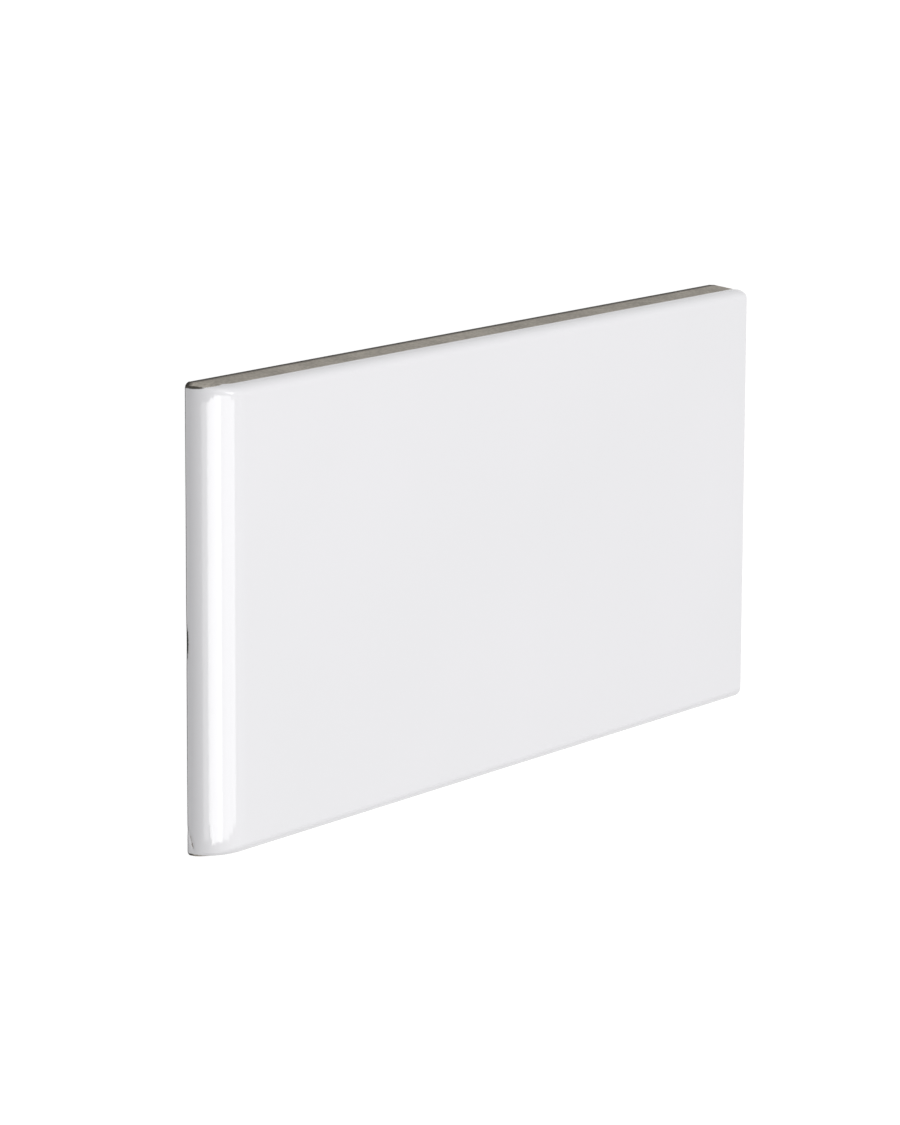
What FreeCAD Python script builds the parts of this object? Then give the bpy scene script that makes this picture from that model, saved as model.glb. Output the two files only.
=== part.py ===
import FreeCAD, Part
import math
import os
from enum import IntEnum
import Sketcher

# Glazed wall tile with one rounded short end, lying on its keyed back.
# +X runs from the bullnose end to the plain end, +Z points out of the glazed face.
# The origin is the middle of the back, and every length is in millimetres.

NODE = "bullnose_tile"
TOLERANCE = 1e-4

# Driving sizes, each with what it measures
SIZES = [
    ("tile_length", 150.0, "bullnose end to plain end"),
    ("tile_width", 75.0, "one long side to the other"),
    ("tile_thickness", 7.0, "back to glazed face"),
    ("side_lean", 0.5, "how far the square sides lean in from the back arris to the face"),
    ("bullnose_radius", 6.0, "round that brings the face down to the short end"),
    ("cushion_radius", 1.6, "soft rim where the flat face meets the long sides"),
    ("nose_rim_radius", 0.3, "the same rim where it dies out at the foot of the bullnose"),
    ("plain_rim_radius", 0.6, "rim where the flat face meets the plain end"),
    ("plain_corner_radius", 1.5, "upright corners of the plain end"),
    ("back_arris", 0.25, "chamfer round the back"),
    ("key_count", 5, "grooves that key the back into the adhesive"),
    ("key_width", 6.0, "across one groove"),
    ("key_depth", 0.8, "groove below the back"),
    ("key_border", 7.5, "plain border from the sides to the grooves"),
]

# Sizes that follow from the driving ones. The round leaves the arris and as much land above it.
ROUND = "min(Sizes.bullnose_radius; Sizes.tile_thickness - 2 * Sizes.back_arris)"
LEAN = "atan(Sizes.side_lean / (Sizes.tile_thickness - Sizes.back_arris))"
KEY_RUN = "Sizes.tile_length - 2 * Sizes.key_border - Sizes.key_width"
KEY_SPREAD = "Sizes.tile_width - 2 * Sizes.key_border - Sizes.key_width"

doc = FreeCAD.newDocument("BullnoseTile")


def make_sheet():
    """The sheet that holds the driving sizes, one row each."""
    sheet = doc.addObject("Spreadsheet::Sheet", "Sizes")
    for row, (alias, value, meaning) in enumerate(SIZES, start=1):
        sheet.set(f"A{row}", meaning)
        sheet.set(f"B{row}", str(value))
        sheet.setAlias(f"B{row}", alias)
    doc.recompute()
    return sheet


sheet = make_sheet()
length = sheet.tile_length
width = sheet.tile_width
thickness = sheet.tile_thickness
lean = sheet.side_lean


def origin_feature(body, role):
    """The plane or axis of the body's own origin that has this role."""
    return next(f for f in body.Origin.OriginFeatures if f.Role == role)


def new_sketch(body, name, role):
    """An empty sketch on one of the body's origin planes."""
    sketch = body.newObject("Sketcher::SketchObject", name)
    sketch.AttachmentSupport = (origin_feature(body, role), [""])
    sketch.MapMode = "FlatFace"
    return sketch


def add_size(sketch, name, expression, *constraint):
    """A named dimension of the sketch, bound to the sheet."""
    index = sketch.addConstraint(Sketcher.Constraint(*constraint))
    sketch.renameConstraint(index, name)
    sketch.setExpression(f"Constraints.{name}", expression)


def line(start, end):
    """A sketch line between two points."""
    return Part.LineSegment(FreeCAD.Vector(*start, 0), FreeCAD.Vector(*end, 0))


def arc(centre, radius, start_degrees, end_degrees):
    """A sketch arc, anticlockwise."""
    circle = Part.Circle(FreeCAD.Vector(*centre, 0), FreeCAD.Vector(0, 0, 1), radius)
    return Part.ArcOfCircle(circle, math.radians(start_degrees), math.radians(end_degrees))


# The points of a sketch line or arc, numbered from one
START, END, CENTRE = IntEnum("SketchPoint", "START END CENTRE")
ORIGIN_POINT = (-1, 1)


def draw_side_profile(body):
    """The long section: flat back, plain end, flat face and bullnose with a short land under it."""
    radius = sheet.bullnose_radius
    left = -length / 2
    right = length / 2
    foot = thickness - radius
    sketch = new_sketch(body, "SideProfile", "XZ_Plane")
    back = sketch.addGeometry(line((left, 0), (right, 0)))
    plain_end = sketch.addGeometry(line((right, 0), (right, thickness)))
    face = sketch.addGeometry(line((right, thickness), (left + radius, thickness)))
    bullnose = sketch.addGeometry(arc((left + radius, foot), radius, 90, 180))
    land = sketch.addGeometry(line((left, foot), (left, 0)))
    sketch.addConstraint([
        Sketcher.Constraint("Coincident", back, END, plain_end, START),
        Sketcher.Constraint("Coincident", plain_end, END, face, START),
        Sketcher.Constraint("Tangent", face, END, bullnose, START),
        Sketcher.Constraint("Tangent", bullnose, END, land, START),
        Sketcher.Constraint("Coincident", land, END, back, START),
        Sketcher.Constraint("Horizontal", back),
        Sketcher.Constraint("Vertical", plain_end),
        Sketcher.Constraint("Horizontal", face),
        Sketcher.Constraint("Vertical", land),
        Sketcher.Constraint("Symmetric", back, START, back, END, *ORIGIN_POINT),
    ])
    add_size(sketch, "Length", "Sizes.tile_length", "DistanceX", back, START, back, END, length)
    add_size(sketch, "Thickness", "Sizes.tile_thickness",
             "DistanceY", plain_end, START, plain_end, END, thickness)
    add_size(sketch, "Round", ROUND, "Radius", bullnose, radius)
    return sketch


def draw_key(body):
    """One round-ended groove of the back, the one nearest the -Y side."""
    radius = sheet.key_width / 2
    reach_x = length / 2 - sheet.key_border - radius
    reach_y = width / 2 - sheet.key_border - radius
    sketch = new_sketch(body, "KeyOutline", "XY_Plane")
    outer = sketch.addGeometry(line((-reach_x, -reach_y - radius), (reach_x, -reach_y - radius)))
    plain_turn = sketch.addGeometry(arc((reach_x, -reach_y), radius, -90, 90))
    inner = sketch.addGeometry(line((reach_x, -reach_y + radius), (-reach_x, -reach_y + radius)))
    nose_turn = sketch.addGeometry(arc((-reach_x, -reach_y), radius, 90, 270))
    sketch.addConstraint([
        Sketcher.Constraint("Tangent", outer, END, plain_turn, START),
        Sketcher.Constraint("Tangent", plain_turn, END, inner, START),
        Sketcher.Constraint("Tangent", inner, END, nose_turn, START),
        Sketcher.Constraint("Tangent", nose_turn, END, outer, START),
        Sketcher.Constraint("Equal", plain_turn, nose_turn),
        Sketcher.Constraint("Horizontal", outer),
    ])
    add_size(sketch, "Turn", "Sizes.key_width / 2", "Radius", plain_turn, radius)
    add_size(sketch, "Run", KEY_RUN,
             "DistanceX", nose_turn, CENTRE, plain_turn, CENTRE, 2 * reach_x)
    add_size(sketch, "HalfRun", f"({KEY_RUN}) / 2",
             "DistanceX", nose_turn, CENTRE, *ORIGIN_POINT, reach_x)
    add_size(sketch, "Reach", f"({KEY_SPREAD}) / 2",
             "DistanceY", plain_turn, CENTRE, *ORIGIN_POINT, reach_y)
    return sketch


def near(value, target):
    """True where two lengths agree."""
    return abs(value - target) < TOLERANCE


def square_sides(slab):
    """The names of the slab's two long sides and its plain end."""
    numbered = enumerate(slab.Shape.Faces, start=1)
    names = []
    for number, face in numbered:
        box = face.BoundBox
        if near(box.YLength, 0) or near(box.XMin, length / 2):
            names.append(f"Face{number}")
    return names


def make_blank():
    """The pressed tile with its sharp rims: the long section padded, its sides leaning, its back keyed."""
    body = doc.addObject("PartDesign::Body", "PressedBlank")
    pad = body.newObject("PartDesign::Pad", "TileSlab")
    pad.Profile = draw_side_profile(body)
    pad.SideType = "Symmetric"
    pad.setExpression("Length", "Sizes.tile_width")
    doc.recompute()

    arris_level = body.newObject("PartDesign::Plane", "ArrisLevel")
    arris_level.AttachmentSupport = (origin_feature(body, "XY_Plane"), [""])
    arris_level.MapMode = "FlatFace"
    arris_level.setExpression("AttachmentOffset.Base.z", "Sizes.back_arris")
    doc.recompute()

    leaning = body.newObject("PartDesign::Draft", "LeaningSides")
    leaning.Base = (pad, square_sides(pad))
    leaning.NeutralPlane = (arris_level, [""])
    leaning.PullDirection = (origin_feature(body, "Z_Axis"), [""])
    leaning.setExpression("Angle", LEAN)
    doc.recompute()

    key = body.newObject("PartDesign::Pocket", "BackKey")
    key.Profile = draw_key(body)
    key.Reversed = True
    key.setExpression("Length", "Sizes.key_depth")
    doc.recompute()

    keys = body.newObject("PartDesign::LinearPattern", "BackKeys")
    keys.Originals = [key]
    keys.Direction = (origin_feature(body, "Y_Axis"), [""])
    keys.setExpression("Length", KEY_SPREAD)
    keys.setExpression("Occurrences", "Sizes.key_count")
    body.Tip = keys
    doc.recompute()

    cut = leaning.Shape.Volume - body.Shape.Volume
    one_key = leaning.Shape.Volume - key.Shape.Volume
    if one_key <= 0 or abs(cut - sheet.key_count * one_key) > TOLERANCE * cut:
        raise RuntimeError("the grooves of the back are not all cut")
    return body


def rim_radii(edge):
    """The start and end radius of the soft rim along this edge, or None where the edge stays sharp."""
    box = edge.BoundBox
    at_plain_end = box.XMax > 0
    on_side = max(box.YMax, -box.YMin) > width / 2 - lean - TOLERANCE
    if near(box.ZMin, thickness) and near(box.YLength, 0):
        return sheet.cushion_radius, sheet.cushion_radius
    if near(box.ZMin, thickness) and near(box.XMin, length / 2 - lean):
        return sheet.plain_rim_radius, sheet.plain_rim_radius
    if near(box.ZLength, 0) or not on_side:
        return None
    if isinstance(edge.Curve, Part.Line):
        radius = sheet.plain_corner_radius if at_plain_end else sheet.nose_rim_radius
        return radius, radius
    radii = (sheet.cushion_radius, sheet.nose_rim_radius)
    starts_at_face = near(edge.firstVertex().Z, thickness)
    return radii if starts_at_face else radii[::-1]


def soften_rim(blank):
    """The cushioned rim of the face, which narrows as it runs down both sides of the bullnose."""
    rim = doc.addObject("Part::Fillet", "GlazedRim")
    rim.Base = blank
    numbered = enumerate(blank.Shape.Edges, start=1)
    chosen = [(number, rim_radii(edge)) for number, edge in numbered]
    rim.Edges = [(number, *radii) for number, radii in chosen if radii]
    doc.recompute()
    return rim


def break_back(rim):
    """The small chamfer round the outline of the back, which finishes the tile."""
    tile = doc.addObject("Part::Chamfer", "Tile")
    tile.Label = NODE
    tile.Base = rim
    backs = [face for face in rim.Shape.Faces if near(face.BoundBox.ZMax, 0)]
    outline = max(backs, key=lambda face: face.Area).OuterWire.Edges
    numbered = enumerate(rim.Shape.Edges, start=1)
    arris = sheet.back_arris
    tile.Edges = [(n, arris, arris) for n, edge in numbered if any(edge.isSame(e) for e in outline)]
    doc.recompute()
    return tile


tile = break_back(soften_rim(make_blank()))

# Everything is checked before anything is written
for item in doc.Objects:
    if {"Invalid", "Error"} & set(item.State):
        raise RuntimeError(f"{item.Name} failed: {item.State}")
if tile.Shape.isNull() or not tile.Shape.isValid() or len(tile.Shape.Solids) != 1:
    raise RuntimeError(f"{tile.Label} is not one valid solid")

os.makedirs("parts", exist_ok=True)
tile.Shape.exportStep(f"parts/{tile.Label}.step")
print(tile.Label, round(tile.Shape.Volume, 1), tile.Shape.BoundBox)
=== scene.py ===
import math
import bmesh
import bpy
from mathutils import Matrix, Vector


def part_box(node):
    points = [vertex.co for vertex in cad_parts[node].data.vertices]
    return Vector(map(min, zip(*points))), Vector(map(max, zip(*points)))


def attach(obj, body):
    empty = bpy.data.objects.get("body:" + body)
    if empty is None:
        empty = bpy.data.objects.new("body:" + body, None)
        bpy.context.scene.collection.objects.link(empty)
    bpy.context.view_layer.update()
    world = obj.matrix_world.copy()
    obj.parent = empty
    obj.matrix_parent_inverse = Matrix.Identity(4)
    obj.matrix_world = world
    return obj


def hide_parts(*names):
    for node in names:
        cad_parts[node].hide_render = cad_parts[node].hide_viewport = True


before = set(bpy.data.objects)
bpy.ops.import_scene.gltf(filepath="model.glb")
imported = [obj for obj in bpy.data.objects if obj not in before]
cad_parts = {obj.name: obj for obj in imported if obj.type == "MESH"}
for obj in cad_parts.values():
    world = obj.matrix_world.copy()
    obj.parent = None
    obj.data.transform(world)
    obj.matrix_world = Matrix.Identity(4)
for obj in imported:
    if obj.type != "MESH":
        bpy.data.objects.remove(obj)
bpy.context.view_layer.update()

# The tile: one slab of dust-pressed clay, fired as biscuit and fired again with its glaze.
# The press rounds one short end over as the bullnose, softens the other rims of the face
# and leaves round-ended grooves in the back that key into the adhesive.
MM = 0.001
NODE = "bullnose_tile"
tile_low, tile_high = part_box(NODE)
LENGTH, WIDTH, THICKNESS = tile_high - tile_low
QUARTER_TURN = math.pi / 2

SIZES = {
    "Length": LENGTH,
    "Width": WIDTH,
    "Thickness": THICKNESS,
    "Side Lean": 0.38 * MM,
    "Bullnose Radius": 6.0 * MM,
    "Cushion Drop": 1.95 * MM,
    "Cushion Run": 1.8 * MM,
    "Plain Rim": 0.6 * MM,
    "Plain Corner": 1.5 * MM,
    "Crisp Corner": 0.25 * MM,
    "Nose Rim Drop": 1.1 * MM,
    "Nose Rim Run": 0.9 * MM,
    "Back Arris": 0.25 * MM,
    "Glaze Lip": 0.1 * MM,
    "Key Width": 6.0 * MM,
    "Key Depth": 0.8 * MM,
    "Key Border": 7.5 * MM,
}
KEY_COUNT = 5

# Rows of the glazed sheet: up the land, round the bullnose, along the face and over the plain end
LAND_ROWS, NOSE_ROWS, FACE_ROWS, RIM_ROWS = 8, 44, 80, 16
FLAT_ROWS = 240
LONG_ROWS = LAND_ROWS + NOSE_ROWS + FACE_ROWS + RIM_ROWS
WIDE_ROWS = RIM_ROWS + FLAT_ROWS + RIM_ROWS
WELD = 0.001 * MM
SHARP_ANGLE = math.radians(30)

# Flaws at the foot of the bullnose: middle, slope across the end in degrees, half sizes and depth.
# The glaze is gone where a bare or a rubbed corner is stronger than BARE_FROM
FLAWS = {
    # The chip is a real dent, and its mask also marks where painted shade darkens it
    "chip": ((-75.0, -3.3, 0.0), 0.0, (1.0, 5.4, 0.95), 0.08),
    "crease": ((-75.0, -34.5, 0.72), -17.0, (1.0, 3.0, 0.42), 0.12),
    "pinhole": ((-75.0, -35.6, 1.06), -17.0, (1.0, 1.0, 0.24), 0.05),
    "bare": ((-75.0, 37.5, 0.0), 0.0, (10.0, 1.1, 9.3), 0.0),
    # soot sinks nothing: it marks where a shadow under the glaze lip is painted dark
    "soot": ((-74.8, 36.8, 1.5), 0.0, (3.0, 0.4, 3.4), 0.0),
    "rubbed": ((-75.0, -37.5, 0.5), 0.0, (10.0, 0.8, 6.5), 0.0),
}
BARE_FROM = 0.25


def add(tree, kind, inputs=(), **settings):
    """Adds a node. Inputs are values, sockets or nodes, in the order of its open sockets or by name."""
    made = tree.nodes.new(kind)
    for name, value in settings.items():
        setattr(made, name, value)
    opened = [socket for socket in made.inputs if socket.enabled]
    named = inputs if isinstance(inputs, dict) else dict(enumerate(inputs))
    for key, value in named.items():
        socket = made.inputs[key] if isinstance(key, str) else opened[key]
        for source in value if isinstance(value, list) else [value]:
            if isinstance(source, bpy.types.Node):
                source = next(output for output in source.outputs if output.enabled)
            if isinstance(source, bpy.types.NodeSocket):
                tree.links.new(source, socket)
            elif source is not None:
                socket.default_value = source
    return made


shape = bpy.data.node_groups.new("pressed_tile", "GeometryNodeTree")
shape.interface.new_socket("Geometry", in_out="OUTPUT", socket_type="NodeSocketGeometry")
for name in SIZES:
    shape.interface.new_socket(name, in_out="INPUT", socket_type="NodeSocketFloat")
shape.interface.new_socket("Key Count", in_out="INPUT", socket_type="NodeSocketInt")
for name in ("Glaze", "Biscuit"):
    shape.interface.new_socket(name, in_out="INPUT", socket_type="NodeSocketMaterial")
size = add(shape, "NodeGroupInput").outputs
position = add(shape, "GeometryNodeInputPosition")
here = add(shape, "ShaderNodeSeparateXYZ", (position,))

# The glazed sheet starts as a flat grid whose places count its rows
rows = add(shape, "GeometryNodeMeshGrid", (LONG_ROWS, WIDE_ROWS, LONG_ROWS + 1, WIDE_ROWS + 1))
foot = add(shape, "ShaderNodeMath", (size["Thickness"], size["Bullnose Radius"]), operation="SUBTRACT")
land = add(shape, "ShaderNodeMath", (foot, size["Back Arris"]), operation="SUBTRACT")
past_nose = add(shape, "ShaderNodeMath", (size["Length"], size["Bullnose Radius"]), operation="SUBTRACT")
at_face = add(shape, "ShaderNodeMath", (past_nose, size["Side Lean"]), operation="SUBTRACT")
face_run = add(shape, "ShaderNodeMath", (at_face, size["Plain Rim"]), operation="SUBTRACT")
stretch = {}
for row, edge, parts in (
    (here.outputs["X"], -LONG_ROWS / 2, (
        ("land", LAND_ROWS, 0.0, land),
        ("nose", NOSE_ROWS, 0.0, QUARTER_TURN),
        ("face", FACE_ROWS, 0.0, face_run),
        ("end", RIM_ROWS, 0.0, QUARTER_TURN),
    )),
    (here.outputs["Y"], -WIDE_ROWS / 2, (
        ("right", RIM_ROWS, 0.0, QUARTER_TURN),
        ("flat", FLAT_ROWS, -1.0, 1.0),
        ("left", RIM_ROWS, 0.0, QUARTER_TURN),
    )),
):
    for name, count, start, end in parts:
        stretch[name] = add(shape, "ShaderNodeMapRange", (row, edge, edge + count, start, end))
        edge += count

# The long section: the land, a quarter turn of bullnose, the flat face and a quarter turn of rim
half_length = add(shape, "ShaderNodeMath", (size["Length"], 0.5), operation="MULTIPLY")
nose_centre = add(shape, "ShaderNodeMath", (size["Bullnose Radius"], half_length), operation="SUBTRACT")
along = add(shape, "ShaderNodeMath", (nose_centre, stretch["face"]), operation="ADD")
on_land = add(shape, "ShaderNodeMath", (size["Back Arris"], stretch["land"]), operation="ADD")
height = add(shape, "ShaderNodeMath", (on_land, size["Plain Rim"]), operation="SUBTRACT")
centre = add(shape, "ShaderNodeCombineXYZ", (along, 0.0, height))
turn_nose = add(shape, "ShaderNodeVectorRotate",
                {"Vector": (-1, 0, 0), "Angle": stretch["nose"]}, rotation_type="Y_AXIS")
turn_end = add(shape, "ShaderNodeVectorRotate",
               {"Vector": (0, 0, 1), "Angle": stretch["end"]}, rotation_type="Y_AXIS")
nose = add(shape, "ShaderNodeVectorMath", (turn_nose, size["Bullnose Radius"]), operation="SCALE")
end = add(shape, "ShaderNodeVectorMath", (turn_end, size["Plain Rim"]), operation="SCALE")
nosed = add(shape, "ShaderNodeVectorMath", (centre, nose), operation="ADD")
section = add(shape, "ShaderNodeVectorMath", (nosed, end), operation="ADD")

# The rims along both sides roll off in a wider curve, which dies out at the foot of the bullnose
RIM_TURN = QUARTER_TURN / 3
rim_drop = add(shape, "ShaderNodeMapRange",
               (stretch["nose"], 0.0, RIM_TURN, size["Nose Rim Drop"], size["Cushion Drop"]),
               interpolation_type="SMOOTHSTEP")
rim_run = add(shape, "ShaderNodeMapRange",
              (stretch["nose"], RIM_TURN, QUARTER_TURN, size["Nose Rim Run"], size["Cushion Run"]),
              interpolation_type="SMOOTHSTEP")
turn_right = add(shape, "ShaderNodeVectorRotate",
                 {"Vector": (0, -1, 0), "Angle": stretch["right"]}, rotation_type="X_AXIS", invert=True)
turn_left = add(shape, "ShaderNodeVectorRotate",
                {"Vector": (0, 0, 1), "Angle": stretch["left"]}, rotation_type="X_AXIS", invert=True)
turns = add(shape, "ShaderNodeVectorMath", (turn_right, turn_left), operation="ADD")
BOTH_TURNS_UP = (0, 0, 2)
below_face = add(shape, "ShaderNodeVectorMath", (turns, BOTH_TURNS_UP), operation="SUBTRACT")
rim = add(shape, "ShaderNodeSeparateXYZ", (below_face,))
half_width = add(shape, "ShaderNodeMath", (size["Width"], 0.5), operation="MULTIPLY")
risen = add(shape, "ShaderNodeSeparateXYZ", (turn_nose,)).outputs["Z"]
leaning = add(shape, "ShaderNodeMath", (risen, size["Side Lean"]), operation="MULTIPLY")
half_side = add(shape, "ShaderNodeMath", (half_width, leaning), operation="SUBTRACT")
half_flat = add(shape, "ShaderNodeMath", (half_side, rim_run), operation="SUBTRACT")
past_flat = add(shape, "ShaderNodeMath", (rim.outputs["Y"], rim_run), operation="MULTIPLY")
across = add(shape, "ShaderNodeMath", (stretch["flat"], half_flat, past_flat), operation="MULTIPLY_ADD")
sideways = add(shape, "ShaderNodeCombineXYZ", (0.0, across, 0.0))
end_share = add(shape, "ShaderNodeMath", (size["Plain Rim"], size["Cushion Drop"]), operation="DIVIDE")
side_share = add(shape, "ShaderNodeMath", (1.0, end_share), operation="SUBTRACT")
upright = add(shape, "ShaderNodeMath", (stretch["end"],), operation="COSINE")
level_end = add(shape, "ShaderNodeMapRange", (upright, 0.0, 1.0, side_share, 1.0))
fall = add(shape, "ShaderNodeMath", (rim.outputs["Z"], rim_drop), operation="MULTIPLY")
sink = add(shape, "ShaderNodeMath", (fall, level_end), operation="MULTIPLY")
sunk = add(shape, "ShaderNodeVectorMath", (turn_nose, sink), operation="SCALE")
on_section = add(shape, "ShaderNodeVectorMath", (section, sunk), operation="ADD")
on_sheet = add(shape, "ShaderNodeVectorMath", (on_section, sideways), operation="ADD")

# The upright corners of the plain end are rounded, the one at -Y less than the other: their square
# of the sheet is drawn in to a quarter disc, each way by the root of 1 less half the other's square
plain_corner = add(shape, "ShaderNodeMapRange",
                   (here.outputs["Y"], -WELD, WELD, size["Crisp Corner"], size["Plain Corner"]))
corner = add(shape, "ShaderNodeMath", (size["Side Lean"], plain_corner), operation="ADD")
core_x = add(shape, "ShaderNodeMath", (half_length, corner), operation="SUBTRACT")
core_y = add(shape, "ShaderNodeMath", (half_width, corner), operation="SUBTRACT")
low_y = add(shape, "ShaderNodeMath", (core_y, -1.0), operation="MULTIPLY")
square_high = add(shape, "ShaderNodeCombineXYZ", (core_x, core_y, size["Thickness"]))
square_low = add(shape, "ShaderNodeCombineXYZ", (-LENGTH, low_y, 0.0))
under = add(shape, "ShaderNodeVectorMath", (on_sheet, square_high), operation="MINIMUM")
inside = add(shape, "ShaderNodeVectorMath", (under, square_low), operation="MAXIMUM")
outside = add(shape, "ShaderNodeVectorMath", (on_sheet, inside), operation="SUBTRACT")
past = add(shape, "ShaderNodeSeparateXYZ", (outside,)).outputs
drawn = []
for here_axis, other_axis in (("X", "Y"), ("Y", "X")):
    share = add(shape, "ShaderNodeMath", (past[other_axis], plain_corner), operation="DIVIDE")
    square = add(shape, "ShaderNodeMath", (share, share), operation="MULTIPLY")
    rest = add(shape, "ShaderNodeMath", (square, -0.5, 1.0), operation="MULTIPLY_ADD")
    shrink = add(shape, "ShaderNodeMath", (rest,), operation="SQRT")
    drawn.append(add(shape, "ShaderNodeMath", (past[here_axis], shrink), operation="MULTIPLY"))
drawn_in = add(shape, "ShaderNodeCombineXYZ", (*drawn, 0.0))
on_plan = add(shape, "ShaderNodeVectorMath", (inside, drawn_in), operation="ADD")
leant = add(shape, "GeometryNodeStoreNamedAttribute", (rows, None, "leaning", leaning),
            data_type="FLOAT", domain="POINT")
sheet = add(shape, "GeometryNodeSetPosition", (leant, None, on_plan))
sheet = add(shape, "GeometryNodeMergeByDistance", (sheet, None, WELD))

# The foot of the bullnose is flawed: a chipped arris, a crease with a pinhole in the glaze,
# and corners where the glaze is rubbed off down to the biscuit. Two masks also place painted shade: in
# the chip, and as a painted shadow under the glaze lip at the +Y corner
sinking = 0.0
flawed = {}
for name, (middle, slope, half, depth) in FLAWS.items():
    offset = add(shape, "ShaderNodeVectorMath",
                 (position, tuple(Vector(middle) * MM)), operation="SUBTRACT")
    level = add(shape, "ShaderNodeVectorRotate",
                {"Vector": offset, "Angle": math.radians(slope)}, rotation_type="X_AXIS", invert=True)
    share = add(shape, "ShaderNodeVectorMath", (level, tuple(Vector(half) * MM)), operation="DIVIDE")
    reach = add(shape, "ShaderNodeVectorMath", (share,), operation="LENGTH")
    mask = add(shape, "ShaderNodeMapRange", (reach.outputs["Value"], 0.0, 1.0, 1.0, 0.0),
               interpolation_type="SMOOTHSTEP")
    sheet = add(shape, "GeometryNodeStoreNamedAttribute", (sheet, None, name, mask),
                data_type="FLOAT", domain="POINT")
    flawed[name] = add(shape, "GeometryNodeInputNamedAttribute", (name,), data_type="FLOAT")
    sinking = add(shape, "ShaderNodeMath", (flawed[name], depth * MM, sinking), operation="MULTIPLY_ADD")
inward = add(shape, "ShaderNodeMath", (sinking, -1.0), operation="MULTIPLY")
normal = add(shape, "GeometryNodeInputNormal")
dent = add(shape, "ShaderNodeVectorMath", (normal, inward), operation="SCALE")
dented = add(shape, "GeometryNodeSetPosition", (sheet, None, None, dent))
rubbed_off = add(shape, "ShaderNodeMath", (flawed["bare"], flawed["rubbed"]), operation="MAXIMUM")
keeps_glaze = add(shape, "FunctionNodeCompare", (rubbed_off, BARE_FROM), operation="LESS_THAN")
body = add(shape, "GeometryNodeStoreNamedAttribute", (dented, None, "glazed", keeps_glaze),
           data_type="BOOLEAN", domain="FACE")

# The plan outline is a rounded rectangle, and its direction points from a core rectangle to the edge
core_high = add(shape, "ShaderNodeCombineXYZ", (core_x, core_y, 0.0))
core_low = add(shape, "ShaderNodeVectorMath", (core_high, -1.0), operation="SCALE")
capped = add(shape, "ShaderNodeVectorMath", (position, core_high), operation="MINIMUM")
core = add(shape, "ShaderNodeVectorMath", (capped, core_low), operation="MAXIMUM")
from_core = add(shape, "ShaderNodeVectorMath", (position, core), operation="SUBTRACT")
in_plan = add(shape, "ShaderNodeVectorMath", (from_core, (1, 1, 0)), operation="MULTIPLY")
plan_direction = add(shape, "ShaderNodeVectorMath", (in_plan,), operation="NORMALIZE")

# The bare sides: the glaze ends in a lip, then the wall leans out down to the arris and the back
neighbours = add(shape, "GeometryNodeInputMeshEdgeNeighbors")
rim_edge = add(shape, "FunctionNodeCompare", (neighbours, 1), data_type="INT", operation="EQUAL")
lip_height = add(shape, "ShaderNodeMath", (here.outputs["Z"], size["Glaze Lip"]), operation="SUBTRACT")
wall_height = add(shape, "ShaderNodeMath", (here.outputs["Z"], size["Back Arris"]), operation="MINIMUM")
lip_step = add(shape, "ShaderNodeMath", (size["Glaze Lip"], -1.0), operation="MULTIPLY")
still_leaning = add(shape, "GeometryNodeInputNamedAttribute", ("leaning",), data_type="FLOAT")
wall_step = add(shape, "ShaderNodeMath", (still_leaning, size["Glaze Lip"]), operation="ADD")
arris_step = add(shape, "ShaderNodeMath", (size["Back Arris"], -1.0), operation="MULTIPLY")
for reach, ring_height, glazed in (
    (lip_step, lip_height, keeps_glaze),
    (wall_step, wall_height, False),
    (arris_step, 0.0, False),
):
    grown = add(shape, "GeometryNodeExtrudeMesh",
                {"Mesh": body, "Selection": rim_edge, "Offset Scale": 0.0}, mode="EDGES")
    rim_edge = grown.outputs["Top"]
    step = add(shape, "ShaderNodeVectorMath", (plan_direction, reach), operation="SCALE")
    spot = add(shape, "ShaderNodeVectorMath", (position, step), operation="ADD")
    plan = add(shape, "ShaderNodeSeparateXYZ", (spot,)).outputs
    ring = add(shape, "ShaderNodeCombineXYZ", (plan["X"], plan["Y"], ring_height))
    body = add(shape, "GeometryNodeSetPosition", (grown, rim_edge, ring))
    body = add(shape, "GeometryNodeStoreNamedAttribute", (body, grown.outputs["Side"], "glazed", glazed),
               data_type="BOOLEAN", domain="FACE")

# The back: its outline filled round the grooves, which are sunk from the same curves
borders = add(shape, "ShaderNodeMath", (size["Key Border"], 2.0), operation="MULTIPLY")
key_length = add(shape, "ShaderNodeMath", (size["Length"], borders), operation="SUBTRACT")
key_turn = add(shape, "ShaderNodeMath", (size["Key Width"], 0.5), operation="MULTIPLY")
key_frame = add(shape, "GeometryNodeCurvePrimitiveQuadrilateral",
                {"Width": key_length, "Height": size["Key Width"]})
KEY_TURN_POINTS = 10
key = add(shape, "GeometryNodeFilletCurve",
          {"Curve": key_frame, "Count": KEY_TURN_POINTS, "Radius": key_turn, "Limit Radius": True},
          mode="POLY")
from_edge = add(shape, "ShaderNodeMath", (size["Key Border"], key_turn), operation="ADD")
key_reach = add(shape, "ShaderNodeMath", (half_width, from_edge), operation="SUBTRACT")
last_key = add(shape, "ShaderNodeCombineXYZ", (0.0, key_reach, 0.0))
first_key = add(shape, "ShaderNodeVectorMath", (last_key, -1.0), operation="SCALE")
key_places = add(shape, "GeometryNodeMeshLine",
                 (size["Key Count"], first_key, last_key), mode="END_POINTS")
placed = add(shape, "GeometryNodeInstanceOnPoints", {"Points": key_places, "Instance": key})
keys = add(shape, "GeometryNodeRealizeInstances", (placed,))
outline = add(shape, "GeometryNodeMeshToCurve", (body, rim_edge))
back_lines = add(shape, "GeometryNodeJoinGeometry", ([outline, keys],))
back = add(shape, "GeometryNodeFillCurve", (back_lines,), mode="TRIANGLES")
key_floor = add(shape, "GeometryNodeFillCurve", (keys,), mode="TRIANGLES")
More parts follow.
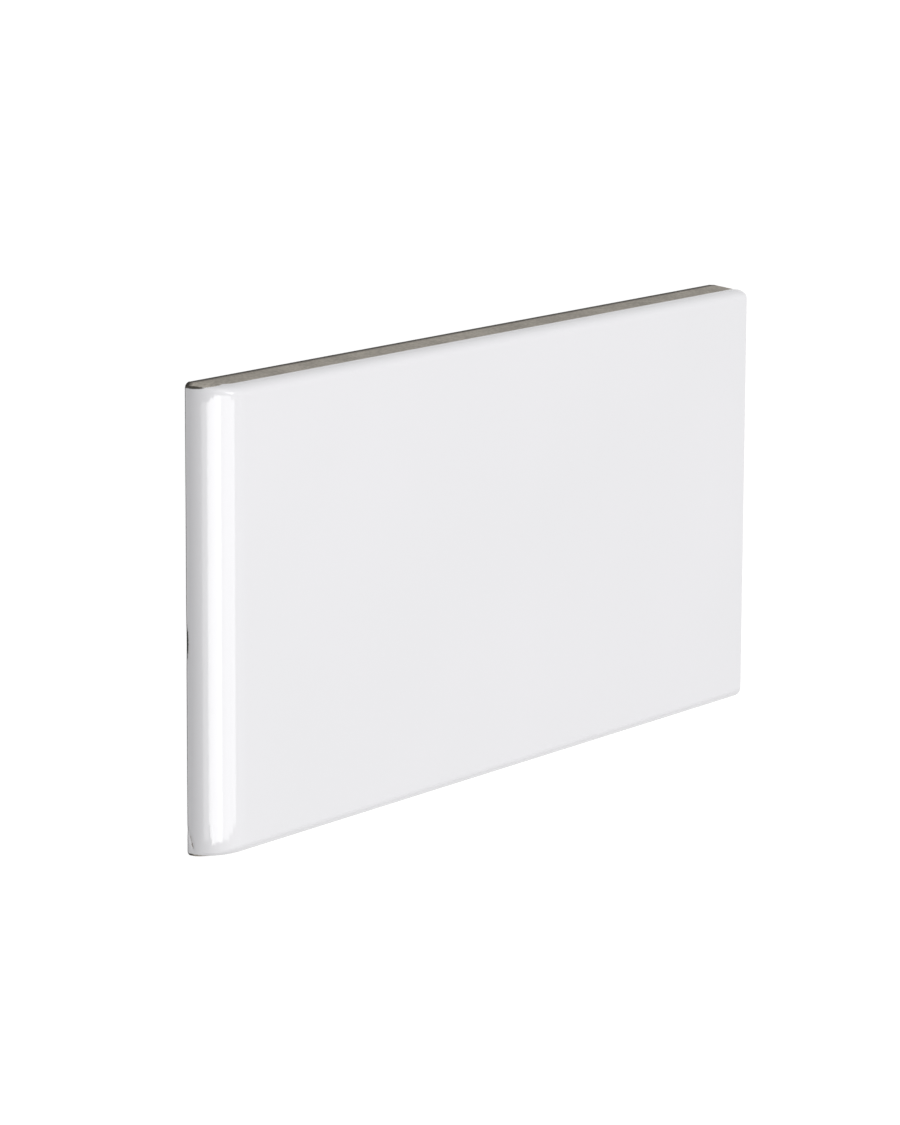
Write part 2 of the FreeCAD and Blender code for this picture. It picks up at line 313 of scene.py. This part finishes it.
grooves = add(shape, "GeometryNodeExtrudeMesh",
              {"Mesh": key_floor, "Offset Scale": size["Key Depth"], "Individual": False}, mode="FACES")
pieces = add(shape, "GeometryNodeJoinGeometry", ([body, back, grooves],))
closed = add(shape, "GeometryNodeMergeByDistance", (pieces, None, WELD))
smooth = add(shape, "GeometryNodeSetShadeSmooth", (closed, None, True))
edge_angle = add(shape, "GeometryNodeInputMeshEdgeAngle")
sharp = add(shape, "FunctionNodeCompare", (edge_angle, SHARP_ANGLE), operation="GREATER_THAN")
creased = add(shape, "GeometryNodeSetShadeSmooth", (smooth, sharp, False), domain="EDGE")
realized = add(shape, "GeometryNodeRealizeInstances", (creased,))
bare = add(shape, "GeometryNodeSetMaterial", (realized, None, size["Biscuit"]))
is_glazed = add(shape, "GeometryNodeInputNamedAttribute", ("glazed",), data_type="BOOLEAN")
coated = add(shape, "GeometryNodeSetMaterial", (bare, is_glazed, size["Glaze"]))
add(shape, "NodeGroupOutput", (coated,))


def colour(code):
    """The linear colour of an sRGB hex code."""
    parts = [int(code[i:i + 2], 16) / 255 for i in (1, 3, 5)]
    linear = [p / 12.92 if p <= 0.04045 else ((p + 0.055) / 1.055) ** 2.4 for p in parts]
    return (*linear, 1.0)


# Marks painted over glaze and biscuit: the flaw, where its mark starts and is full, and the colour.
# The lip shadow and the chip's mark are painted shade
LIP_SHADOW = ("soot", 0.3, 0.6, "#46423A")
CHIP_AND_SHADE = ("chip", 0.3, 0.6, "#26241F")
MARK_GRAIN = 0.6 * MM
MARK_RAGGED = 0.5


def worn_and_shaded(tree, place, base, marks):
    """The base colour with the marks of the flaws and the painted shade over it, each with a ragged
    edge.
    """
    grain = add(tree, "ShaderNodeTexNoise", {"Vector": place, "Scale": 1 / MARK_GRAIN, "Detail": 3.0})
    for flaw, start, end, code in marks:
        mask = add(tree, "ShaderNodeAttribute", attribute_name=flaw).outputs["Fac"]
        ragged = add(tree, "ShaderNodeMath", (grain, MARK_RAGGED, mask), operation="MULTIPLY_ADD")
        loose = add(tree, "ShaderNodeMath", (ragged, MARK_RAGGED / 2), operation="SUBTRACT")
        cover = add(tree, "ShaderNodeMapRange", (loose, start, end, 0.0, 1.0))
        base = add(tree, "ShaderNodeMix", (cover, base, colour(code)), data_type="RGBA")
    return base


# Glossy white wall-tile glaze, sprayed on and melted in the second firing.
# To the eye: a cold bright white with sharp soft-box reflections and a hint of unevenness in tone,
# dull in the chip, which is darkened with painted shade, and stained brown in the crease and its
# pinhole.
glaze = bpy.data.materials.new("gloss_white_glaze")
glaze.use_nodes = True
tree = glaze.node_tree
tree.nodes.clear()
place = add(tree, "ShaderNodeTexCoord").outputs["Object"]
GLAZE_CLOUD = 40 * MM
cloud = add(tree, "ShaderNodeTexNoise", {"Vector": place, "Scale": 1 / GLAZE_CLOUD, "Detail": 2.0})
tone = add(tree, "ShaderNodeValToRGB", (cloud,))
tone.color_ramp.elements[0].color = colour("#EDEDEF")
tone.color_ramp.elements[1].color = colour("#F1F0F3")
CREASE = ("crease", 0.75, 1.05, "#A89C92")
PINHOLE = ("pinhole", 0.3, 0.7, "#8F8276")
# The chip gets painted shade and the glaze border a painted shadow; the crease and pinhole are stains
painted = worn_and_shaded(tree, place, tone, (CREASE, PINHOLE, LIP_SHADOW, CHIP_AND_SHADE))
chip = add(tree, "ShaderNodeAttribute", attribute_name="chip").outputs["Fac"]
CHIP_START, CHIP_FULL = 0.2, 0.4
GLAZE_ROUGHNESS, CHIP_ROUGHNESS = 0.01, 0.8
broken = add(tree, "ShaderNodeMapRange", (chip, CHIP_START, CHIP_FULL, GLAZE_ROUGHNESS, CHIP_ROUGHNESS))
coat = add(tree, "ShaderNodeBsdfPrincipled", {"Base Color": painted, "Roughness": broken, "IOR": 1.52})
add(tree, "ShaderNodeOutputMaterial", (coat,))

# Biscuit: dust-pressed clay, bare on the sides, the back and the rubbed corners.
# To the eye: a dull sandy grey with fine grit, and a painted contact shadow as a dark line along the
# back arris, which turns a little onto the back.
biscuit = bpy.data.materials.new("pressed_biscuit")
biscuit.use_nodes = True
tree = biscuit.node_tree
tree.nodes.clear()
place = add(tree, "ShaderNodeTexCoord").outputs["Object"]
GRIT = 0.5 * MM
PATCH = 6.0 * MM
PATCH_SHARE = 0.6
grit = add(tree, "ShaderNodeTexNoise",
           {"Vector": place, "Scale": 1 / GRIT, "Detail": 4.0, "Roughness": 0.6})
patch = add(tree, "ShaderNodeTexNoise", {"Vector": place, "Scale": 1 / PATCH, "Detail": 3.0})
mixed = add(tree, "ShaderNodeMath", (patch, PATCH_SHARE, grit), operation="MULTIPLY_ADD")
clay = add(tree, "ShaderNodeValToRGB", (mixed,))
clay.color_ramp.elements[0].color = colour("#9E988F")
clay.color_ramp.elements[0].position = 0.55
clay.color_ramp.elements[1].color = colour("#CBC4B9")
clay.color_ramp.elements[1].position = 1.0
# Painted contact shadow: the clay darkens in a ragged band up from the back arris and a little in from
# the outline on the back
ARRIS_SHADOW_BAND = 1.5 * MM
ARRIS_SHADOW_DARK, ARRIS_SHADOW_CLEAR = 0.25 * ARRIS_SHADOW_BAND, 0.8 * ARRIS_SHADOW_BAND
ARRIS_SHADOW_ON_BACK = 0.4 * ARRIS_SHADOW_BAND
ARRIS_SHADOW_RAGGED = 0.5 * MM
where = add(tree, "ShaderNodeSeparateXYZ", (place,))
uneven = add(tree, "ShaderNodeMath", (grit, -ARRIS_SHADOW_RAGGED, where.outputs["Z"]), operation="MULTIPLY_ADD")
arris_shadow = add(tree, "ShaderNodeMapRange", (uneven, ARRIS_SHADOW_DARK, ARRIS_SHADOW_CLEAR, 1.0, 0.0))
from_middle = add(tree, "ShaderNodeVectorMath", (place,), operation="ABSOLUTE")
past_outline = add(tree, "ShaderNodeVectorMath",
                   (from_middle, (LENGTH / 2, WIDTH / 2, 0)), operation="SUBTRACT")
past = add(tree, "ShaderNodeSeparateXYZ", (past_outline,)).outputs
near_outline = add(tree, "ShaderNodeMath", (past["X"], past["Y"]), operation="MAXIMUM")
ragged = add(tree, "ShaderNodeMath", (grit, ARRIS_SHADOW_RAGGED, near_outline), operation="MULTIPLY_ADD")
round_back = add(tree, "ShaderNodeMapRange", (ragged, -ARRIS_SHADOW_BAND, -ARRIS_SHADOW_ON_BACK, 0.0, 1.0))
line = add(tree, "ShaderNodeMath", (arris_shadow, round_back), operation="MULTIPLY")
arris_shadowed = add(tree, "ShaderNodeMix", (line, clay, colour("#332F2A")), data_type="RGBA")
# The painted shadow under the glaze lip and the painted shade in the chip also lie over the clay
marked = worn_and_shaded(tree, place, arris_shadowed, (LIP_SHADOW, CHIP_AND_SHADE))
GRIT_HEIGHT = 0.08 * MM
rough = add(tree, "ShaderNodeBump", {"Height": grit, "Strength": 0.6, "Distance": GRIT_HEIGHT})
clay_body = add(tree, "ShaderNodeBsdfPrincipled",
                {"Base Color": marked, "Roughness": 0.9, "IOR": 1.5, "Normal": rough})
add(tree, "ShaderNodeOutputMaterial", (clay_body,))

# The tree gives one closed mesh, which stands for the solid of the tile
blank = bpy.data.objects.new("tile_blank", bpy.data.meshes.new("tile_blank"))
bpy.context.scene.collection.objects.link(blank)
modifier = blank.modifiers.new("pressed_tile", "NODES")
modifier.node_group = shape
settings = {**SIZES, "Key Count": KEY_COUNT, "Glaze": glaze, "Biscuit": biscuit}
for item in shape.interface.items_tree:
    if item.in_out == "INPUT":
        modifier[item.identifier] = settings[item.name]
pressed = blank.evaluated_get(bpy.context.evaluated_depsgraph_get())
mesh = bpy.data.meshes.new_from_object(pressed)
blank.modifiers.remove(modifier)
bpy.data.objects.remove(blank)
work = bmesh.new()
work.from_mesh(mesh)
bmesh.ops.recalc_face_normals(work, faces=work.faces)
work.to_mesh(mesh)
work.free()
mesh.name = "glazed_bullnose_tile"
mesh.materials.pop(index=0)
tile = bpy.data.objects.new("glazed_bullnose_tile", mesh)
bpy.context.scene.collection.objects.link(tile)
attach(tile, "root")
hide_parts(NODE)

# The floor: a flat sheet of plain studio paper, a hair below the back so that the two stay apart.
# The camera and gloss see it as white, and it keeps the tile's faint shadow.
FLOOR_SIDE = 6.0
FLOOR_GAP = 0.05 * MM
AMBIENT = 0.47
FLOOR_GLOW = 0.93
floor_mesh = bpy.data.meshes.new("studio_floor")
reach = FLOOR_SIDE / 2
plan = ((-reach, -reach), (reach, -reach), (reach, reach), (-reach, reach))
floor_mesh.from_pydata([(x, y, -FLOOR_GAP) for x, y in plan], [], [(0, 1, 2, 3)])
floor = bpy.data.objects.new("studio_floor", floor_mesh)
bpy.context.scene.collection.objects.link(floor)
paper = bpy.data.materials.new("white_paper")
paper.use_nodes = True
world = bpy.data.worlds.new("white_studio")
world.use_nodes = True
bpy.context.scene.world = world
seen = {}
for owner, dim, bright in ((paper, 0.0, FLOOR_GLOW), (world, AMBIENT, 1.0)):
    tree = owner.node_tree
    tree.nodes.clear()
    ray = add(tree, "ShaderNodeLightPath").outputs
    mirrored = add(tree, "ShaderNodeMath",
                   (ray["Is Glossy Ray"], ray["Is Transmission Ray"]), operation="MAXIMUM")
    shown = add(tree, "ShaderNodeMath", (ray["Is Camera Ray"], mirrored), operation="MAXIMUM")
    seen[owner.name] = add(tree, "ShaderNodeMapRange", (shown, 0.0, 1.0, dim, bright))
sheen = add(paper.node_tree, "ShaderNodeBsdfPrincipled",
            {"Base Color": colour("#606060"), "Roughness": 0.9, "Emission Color": (1, 1, 1, 1),
             "Emission Strength": seen["white_paper"]})
add(paper.node_tree, "ShaderNodeOutputMaterial", (sheen,))
floor_mesh.materials.append(paper)
sky = add(world.node_tree, "ShaderNodeBackground", ((1, 1, 1, 1), seen["white_studio"]))
add(world.node_tree, "ShaderNodeOutputWorld", (sky,))

# The lamps: a tall strip box over the bullnose end, built of panels on an arc, gives the long highlight.
# A box overhead and a weak one at the +Y side light the face evenly and stay out of its reflections.
STRIP_DISTANCE = 1500
STRIP_PANEL = 6
NOSE = Vector((-71.0, 0.0, 5.0))
# Bands of the strip: the angles over the horizon, the ends along Y and the radiance
STRIP_BANDS = (
    (1, 18, -198, -412, 1.4),
    (18, 22, -198, -404, 3.8),
    (22, 26, -198, -411, 4.2),
    (26, 38, -196, -414, 4.5),
    (38, 59, -195, -413, 4.4),
    (59, 80, -195, -412, 2.35),
    (80, 91, -195, -409, 2.0),
    (91, 102, -197, -405, 1.95),
)
LAMPS = {
    "side_box": (Vector((-150, 1300, 1100)), Vector(), 900, 900, 1.0),
    "top_box": (Vector((0, 500, 1500)), Vector((0, 500, 0)), 700, 700, 3.5),
}
for low_angle, high_angle, near_end, far_end, radiance in STRIP_BANDS:
    count = math.ceil((high_angle - low_angle) / STRIP_PANEL)
    span = math.radians(high_angle - low_angle) / count
    tall = 2 * STRIP_DISTANCE * math.tan(span / 2)
    aim = NOSE + Vector((0, (near_end + far_end) / 2, 0))
    for i in range(count):
        lift = math.radians(low_angle) + (i + 0.5) * span
        spot = aim + STRIP_DISTANCE * Vector((-math.cos(lift), 0, math.sin(lift)))
        LAMPS[f"strip_{low_angle}_{i}"] = (spot, aim, near_end - far_end, tall, radiance)
WATTS_PER_RADIANCE = 4.0
FACES_SIDEWAYS = 0.5
for name, (spot, aim, wide, tall, radiance) in LAMPS.items():
    lamp = bpy.data.lights.new(name, "AREA")
    lamp.shape = "RECTANGLE"
    lamp.size = wide * MM
    lamp.size_y = tall * MM
    lamp.energy = radiance * WATTS_PER_RADIANCE * lamp.size * lamp.size_y
    panel = bpy.data.objects.new(name, lamp)
    bpy.context.scene.collection.objects.link(panel)
    back = (spot - aim).normalized()
    side = Vector((0, 1, 0)) if abs(back.y) < FACES_SIDEWAYS else Vector((1, 0, 0))
    turned = Matrix((side, back.cross(side).normalized(), back)).transposed()
    panel.matrix_world = Matrix.Translation(spot * MM) @ turned.to_4x4()

# The camera: a long lens over the bullnose end, with the tile's +Y side up in the picture.
# It stands where a camera fitted to the outline of the real tile stands, and has no shift.
CAMERA_PLACE = Vector((-630.6, 146.0, 455.3)) * MM
CAMERA_AIM = Vector((-15.0, 1.07, 6.95)) * MM
CAMERA_LENS = 151.09
CAMERA_ROLL = math.radians(0.266)
CAMERA_NEAR = 10 * MM
camera = bpy.data.objects.new("camera", bpy.data.cameras.new("camera"))
bpy.context.scene.collection.objects.link(camera)
camera.data.lens = CAMERA_LENS
camera.data.clip_start = CAMERA_NEAR
backward = (CAMERA_PLACE - CAMERA_AIM).normalized()
rightward = Vector((0, 1, 0)).cross(backward).normalized()
turned = Matrix((rightward, backward.cross(rightward), backward)).transposed()
camera.matrix_world = (
    Matrix.Translation(CAMERA_PLACE) @ turned.to_4x4() @ Matrix.Rotation(CAMERA_ROLL, 4, "Z")
)
bpy.context.scene.camera = camera
bpy.context.scene.view_settings.view_transform = "Standard"
